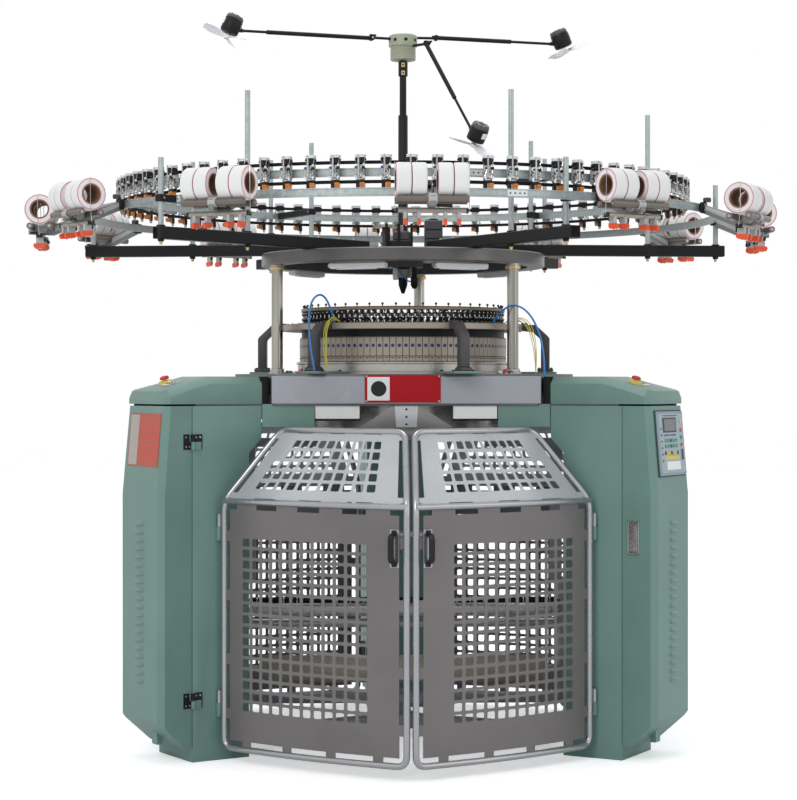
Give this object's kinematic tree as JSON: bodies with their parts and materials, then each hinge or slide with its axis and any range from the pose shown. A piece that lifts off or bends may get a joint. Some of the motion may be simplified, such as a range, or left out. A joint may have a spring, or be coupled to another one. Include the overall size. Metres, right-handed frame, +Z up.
{
  "type": "circular knitting machine",
  "caption": "Large circular knitting machine with a needle cylinder, yarn feeder ring, elastane roll stands, mesh safety gates, three cabinet legs and a ceiling fan head.",
  "frame": {"origin": "on the machine's axis at floor level", "axes": "+Z up along the cylinder axis, -Y towards the front double gate"},
  "size_m": [3.3674, 3.3674, 3.2158],
  "materials": {
    "teal_paint": "satin",
    "beam_paint": "satin",
    "white_panel": "matt",
    "bed_steel": "machined",
    "dark_cast": "machined",
    "cam_paint": "satin",
    "bright_steel": "machined",
    "guide_paint": "satin",
    "black_paint": "satin",
    "zinc_tube": "zinc plated",
    "ring_aluminium": "satin",
    "feeder_plastic": "matt",
    "belt_rubber": "matt",
    "stand_paint": "satin",
    "elastane": "matt",
    "hub_paint": "satin",
    "fan_plastic": "gloss",
    "gate_paint": "satin",
    "frame_paint": "satin",
    "roller_steel": "ground",
    "cloth": "matt",
    "stop_red": "gloss",
    "gasket_rubber": "matt",
    "panel_plastic": "matt",
    "latch_metal": "satin",
    "hose_blue": "satin",
    "wire_yellow": "satin",
    "motor_paint": "painted"
  },
  "bodies": {
    "frame": {"leg_left": "teal_paint", "leg_right": "teal_paint", "leg_rear": "teal_paint", "bed_plate": "bed_steel", "beam_covers": "beam_paint", "beam_shields": "white_panel", "leg_caps": "teal_paint", "cap_gaskets": "gasket_rubber", "floor_spider": "frame_paint", "base_ring": "teal_paint", "cam_boxes": "cam_paint", "sinker_ring": "cam_paint", "guide_ring": "guide_paint", "ring_brackets": "dark_cast", "columns": "zinc_tube", "top_disc": "dark_cast", "drive_block": "dark_cast", "support_arms": "black_paint", "ring_rods": "zinc_tube", "feeder_ring": "ring_aluminium", "outer_ring": "ring_aluminium", "yarn_feeders": "feeder_plastic", "feed_belts": "belt_rubber", "roll_stands": "stand_paint", "elastane_rolls": "elastane", "fan_post": "hub_paint", "drive_motor": "motor_paint", "air_hoses": "hose_blue", "signal_wires": "wire_yellow"},
    "door_left": {"cabinet_door_left": "teal_paint"},
    "latch_left": {"door_latch_left": "latch_metal"},
    "stop_left": {"e_stop_left": "stop_red"},
    "door_right": {"cabinet_door_right": "teal_paint", "control_panel": "panel_plastic"},
    "latch_right": {"door_latch_right": "latch_metal"},
    "stop_right": {"e_stop_right": "stop_red"},
    "door_rear": {"cabinet_door_rear": "teal_paint"},
    "latch_rear": {"door_latch_rear": "latch_metal"},
    "stop_rear": {"e_stop_rear": "stop_red"},
    "gate_front_a": {"gate_frame_front_a": "gate_paint", "gate_sheet_front_a": "gate_paint"},
    "gate_front_b": {"gate_frame_front_b": "gate_paint", "gate_sheet_front_b": "gate_paint"},
    "gate_right_a": {"gate_frame_right_a": "gate_paint"},
    "gate_right_b": {"gate_frame_right_b": "gate_paint"},
    "gate_left_a": {"gate_frame_left_a": "gate_paint"},
    "gate_left_b": {"gate_frame_left_b": "gate_paint"},
    "cylinder": {"needle_cylinder": "bright_steel", "takedown_frame": "frame_paint"},
    "takedown_roller": {"takedown_roller": "roller_steel"},
    "press_roller": {"press_roller": "gasket_rubber"},
    "fabric_roll": {"fabric_roll": "cloth"},
    "quality_pulley": {"quality_pulley": "ring_aluminium"},
    "fan_hub": {"fan_hub": "hub_paint"},
    "fan_arm_left": {"fan_arm_left": "black_paint"},
    "fan_blades_left": {"fan_blades_left": "fan_plastic"},
    "fan_arm_right": {"fan_arm_right": "black_paint"},
    "fan_blades_right": {"fan_blades_right": "fan_plastic"},
    "fan_arm_drooping": {"fan_arm_drooping": "black_paint"},
    "fan_blades_drooping": {"fan_blades_drooping": "fan_plastic"}
  },
  "joints": [
    {"name": "door_left_hinge", "type": "hinge", "parent": "frame", "child": "door_left", "pos_m": [-0.89521, -0.71546, 0.8], "axis": [0, 0, 1], "range_deg": [0, 105]},
    {"name": "latch_left_turn", "type": "hinge", "parent": "door_left", "child": "latch_left", "pos_m": [-1.09779, -0.43822, 0.939], "axis": [0, 0, -1], "range_deg": [0, 40], "stiffness_Nm_per_rad": 0.5, "springref_deg": -8.59},
    {"name": "stop_left_press", "type": "slide", "parent": "frame", "child": "stop_left", "axis": [-0.2245, -0.1296, 0.9658], "range_m": [-0.005, 0], "stiffness_N_per_m": 900, "springref_m": 0.003},
    {"name": "door_right_hinge", "type": "hinge", "parent": "frame", "child": "door_right", "pos_m": [1.06721, -0.41754, 0.8], "axis": [0, 0, 1], "range_deg": [0, 105]},
    {"name": "latch_right_turn", "type": "hinge", "parent": "door_right", "child": "latch_right", "pos_m": [0.9284, -0.7316, 0.939], "axis": [0, 0, -1], "range_deg": [0, 40], "stiffness_Nm_per_rad": 0.5, "springref_deg": -8.59},
    {"name": "stop_right_press", "type": "slide", "parent": "frame", "child": "stop_right", "axis": [0.2245, -0.1296, 0.9658], "range_m": [-0.005, 0], "stiffness_N_per_m": 900, "springref_m": 0.003},
    {"name": "door_rear_hinge", "type": "hinge", "parent": "frame", "child": "door_rear", "pos_m": [-0.172, 1.133, 0.8], "axis": [0, 0, 1], "range_deg": [0, 105]},
    {"name": "latch_rear_turn", "type": "hinge", "parent": "door_rear", "child": "latch_rear", "pos_m": [0.16939, 1.16982, 0.939], "axis": [0, 0, -1], "range_deg": [0, 40], "stiffness_Nm_per_rad": 0.5, "springref_deg": -8.59},
    {"name": "stop_rear_press", "type": "slide", "parent": "frame", "child": "stop_rear", "axis": [0, 0.2592, 0.9658], "range_m": [-0.005, 0], "stiffness_N_per_m": 900, "springref_m": 0.003},
    {"name": "gate_front_a_hinge", "type": "hinge", "parent": "frame", "child": "gate_front_a", "pos_m": [-0.79055, -0.65272, 0.61], "axis": [0, 0, 1], "range_deg": [-85, 0]},
    {"name": "gate_front_b_hinge", "type": "hinge", "parent": "frame", "child": "gate_front_b", "pos_m": [0.79055, -0.65272, 0.61], "axis": [0, 0, -1], "range_deg": [-85, 0]},
    {"name": "gate_right_a_hinge", "type": "hinge", "parent": "frame", "child": "gate_right_a", "pos_m": [0.96055, -0.35828, 0.61], "axis": [0, 0, 1], "range_deg": [-85, 0]},
    {"name": "gate_right_b_hinge", "type": "hinge", "parent": "frame", "child": "gate_right_b", "pos_m": [0.17, 1.011, 0.61], "axis": [0, 0, -1], "range_deg": [-85, 0]},
    {"name": "gate_left_a_hinge", "type": "hinge", "parent": "frame", "child": "gate_left_a", "pos_m": [-0.17, 1.011, 0.61], "axis": [0, 0, 1], "range_deg": [-85, 0]},
    {"name": "gate_left_b_hinge", "type": "hinge", "parent": "frame", "child": "gate_left_b", "pos_m": [-0.96055, -0.35828, 0.61], "axis": [0, 0, -1], "range_deg": [-85, 0]},
    {"name": "cylinder_spin", "type": "hinge", "parent": "frame", "child": "cylinder", "pos_m": [0, 0, 1.65], "axis": [0, 0, 1], "continuous": true},
    {"name": "takedown_roller_spin", "type": "hinge", "parent": "cylinder", "child": "takedown_roller", "pos_m": [0, -0.04, 0.57], "axis": [1, 0, 0], "continuous": true},
    {"name": "press_roller_spin", "type": "hinge", "parent": "cylinder", "child": "press_roller", "pos_m": [0, 0.00789, 0.59765], "axis": [1, 0, 0], "continuous": true},
    {"name": "fabric_roll_spin", "type": "hinge", "parent": "cylinder", "child": "fabric_roll", "pos_m": [0, 0, 0.3], "axis": [1, 0, 0], "continuous": true},
    {"name": "quality_pulley_spin", "type": "hinge", "parent": "frame", "child": "quality_pulley", "pos_m": [-0.077, -0.06, 2.282], "axis": [0, 0, 1], "continuous": true},
    {"name": "fan_hub_spin", "type": "hinge", "parent": "frame", "child": "fan_hub", "pos_m": [0, 0, 3.04], "axis": [0, 0, 1], "continuous": true},
    {"name": "fan_elbow_left", "type": "hinge", "parent": "fan_hub", "child": "fan_arm_left", "pos_m": [-0.14233, -0.04735, 3.135], "axis": [0.3156, -0.9489, 0], "range_deg": [-20, 60]},
    {"name": "fan_blades_left_spin", "type": "hinge", "parent": "fan_arm_left", "child": "fan_blades_left", "pos_m": [-0.77742, -0.25124, 3.11287], "axis": [0.401, 0.1334, 0.9063], "continuous": true},
    {"name": "fan_elbow_right", "type": "hinge", "parent": "fan_hub", "child": "fan_arm_right", "pos_m": [0.14943, 0.01307, 3.145], "axis": [-0.0872, 0.9962, 0], "range_deg": [-20, 60]},
    {"name": "fan_blades_right_spin", "type": "hinge", "parent": "fan_arm_right", "child": "fan_blades_right", "pos_m": [0.73863, 0.0576, 3.10223], "axis": [-0.3892, -0.0341, 0.9205], "continuous": true},
    {"name": "fan_elbow_drooping", "type": "hinge", "parent": "fan_hub", "child": "fan_arm_drooping", "pos_m": [0.10306, -0.10899, 3.102], "axis": [0.7266, 0.6871, 0], "range_deg": [-60, 25]},
    {"name": "fan_blades_drooping_spin", "type": "hinge", "parent": "fan_arm_drooping", "child": "fan_blades_drooping", "pos_m": [0.30009, -0.32752, 2.63323], "axis": [0.3498, -0.3699, 0.8607], "continuous": true}
  ],
  "couplings": [
    {"joint": "takedown_roller_spin", "follows": "cylinder_spin", "ratio": 1.5},
    {"joint": "press_roller_spin", "follows": "cylinder_spin", "ratio": -1.8},
    {"joint": "fabric_roll_spin", "follows": "cylinder_spin", "ratio": 0.7258},
    {"joint": "quality_pulley_spin", "follows": "cylinder_spin", "ratio": 6}
  ]
}
